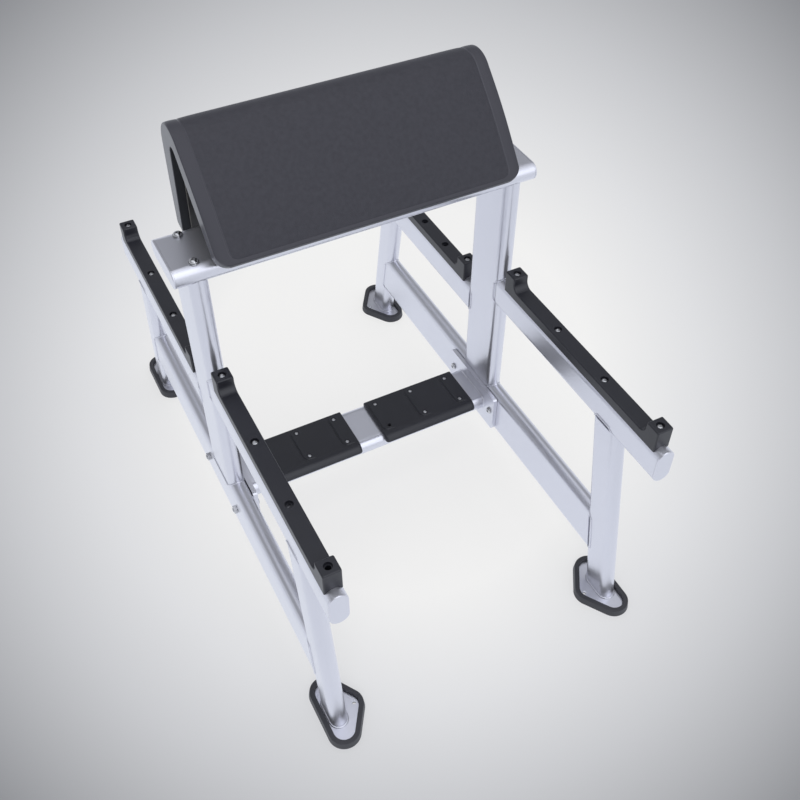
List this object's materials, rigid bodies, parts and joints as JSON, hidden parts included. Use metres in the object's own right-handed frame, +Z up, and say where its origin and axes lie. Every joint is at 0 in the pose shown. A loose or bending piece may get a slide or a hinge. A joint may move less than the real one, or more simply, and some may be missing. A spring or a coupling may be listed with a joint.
{
  "type": "preacher bench",
  "caption": "Standing preacher bench: two flat-oval tube frames with barbell racks on arms, a bent arm pad on a cross beam and a low step between the frames",
  "frame": {"origin": "on the floor under the middle of the bench, at the bottom centre of its bounding box", "axes": "+X to the bench's right along the pad, +Y to the rear, away from the pad's sloping face, +Z up"},
  "size_m": [0.785, 1.3102, 1.0604],
  "materials": {
    "silver_paint": "satin silver metallic paint",
    "black_plastic": "fine matt",
    "black_rubber": "matt",
    "pad_cover": "fine-grained synthetic leather",
    "board_laminate": "black faced",
    "bolt_steel": "bright zinc"
  },
  "bodies": {
    "root": {"arm_pad": "pad_cover", "bar_rack_front_left": "black_plastic", "bar_rack_front_right": "black_plastic", "bar_rack_rear_left": "black_plastic", "bar_rack_rear_right": "black_plastic", "base_rail_left": "silver_paint", "base_rail_right": "silver_paint", "beam_bolt_front_left": "bolt_steel", "beam_bolt_front_right": "bolt_steel", "beam_bolt_rear_left": "bolt_steel", "beam_bolt_rear_right": "bolt_steel", "beam_washer_front_left": "bolt_steel", "beam_washer_front_right": "bolt_steel", "beam_washer_rear_left": "bolt_steel", "beam_washer_rear_right": "bolt_steel", "foot_plate_front_left": "silver_paint", "foot_plate_front_right": "silver_paint", "foot_plate_rear_left": "silver_paint", "foot_plate_rear_right": "silver_paint", "foot_rubber_front_left": "black_rubber", "foot_rubber_front_right": "black_rubber", "foot_rubber_rear_left": "black_rubber", "foot_rubber_rear_right": "black_rubber", "leg_front_left": "silver_paint", "leg_front_right": "silver_paint", "leg_rear_left": "silver_paint", "leg_rear_right": "silver_paint", "pad_beam": "silver_paint", "pad_beam_cap_left": "silver_paint", "pad_beam_cap_right": "silver_paint", "pad_board": "board_laminate", "pad_bracket_left": "silver_paint", "pad_bracket_right": "silver_paint", "rack_arm_cap_front_left": "silver_paint", "rack_arm_cap_front_right": "silver_paint", "rack_arm_cap_rear_left": "silver_paint", "rack_arm_cap_rear_right": "silver_paint", "rack_arm_front_left": "silver_paint", "rack_arm_front_right": "silver_paint", "rack_arm_rear_left": "silver_paint", "rack_arm_rear_right": "silver_paint", "rail_bolt_front_left": "bolt_steel", "rail_bolt_front_right": "bolt_steel", "rail_bolt_rear_left": "bolt_steel", "rail_bolt_rear_right": "bolt_steel", "rail_nut_front_left": "bolt_steel", "rail_nut_front_right": "bolt_steel", "rail_nut_rear_left": "bolt_steel", "rail_nut_rear_right": "bolt_steel", "step_flange_left": "silver_paint", "step_flange_right": "silver_paint", "step_tread_left": "black_plastic", "step_tread_right": "black_plastic", "step_tube": "silver_paint", "upright_left": "silver_paint", "upright_right": "silver_paint", "upright_top_plate_left": "silver_paint", "upright_top_plate_right": "silver_paint"}
  },
  "joints": []
}
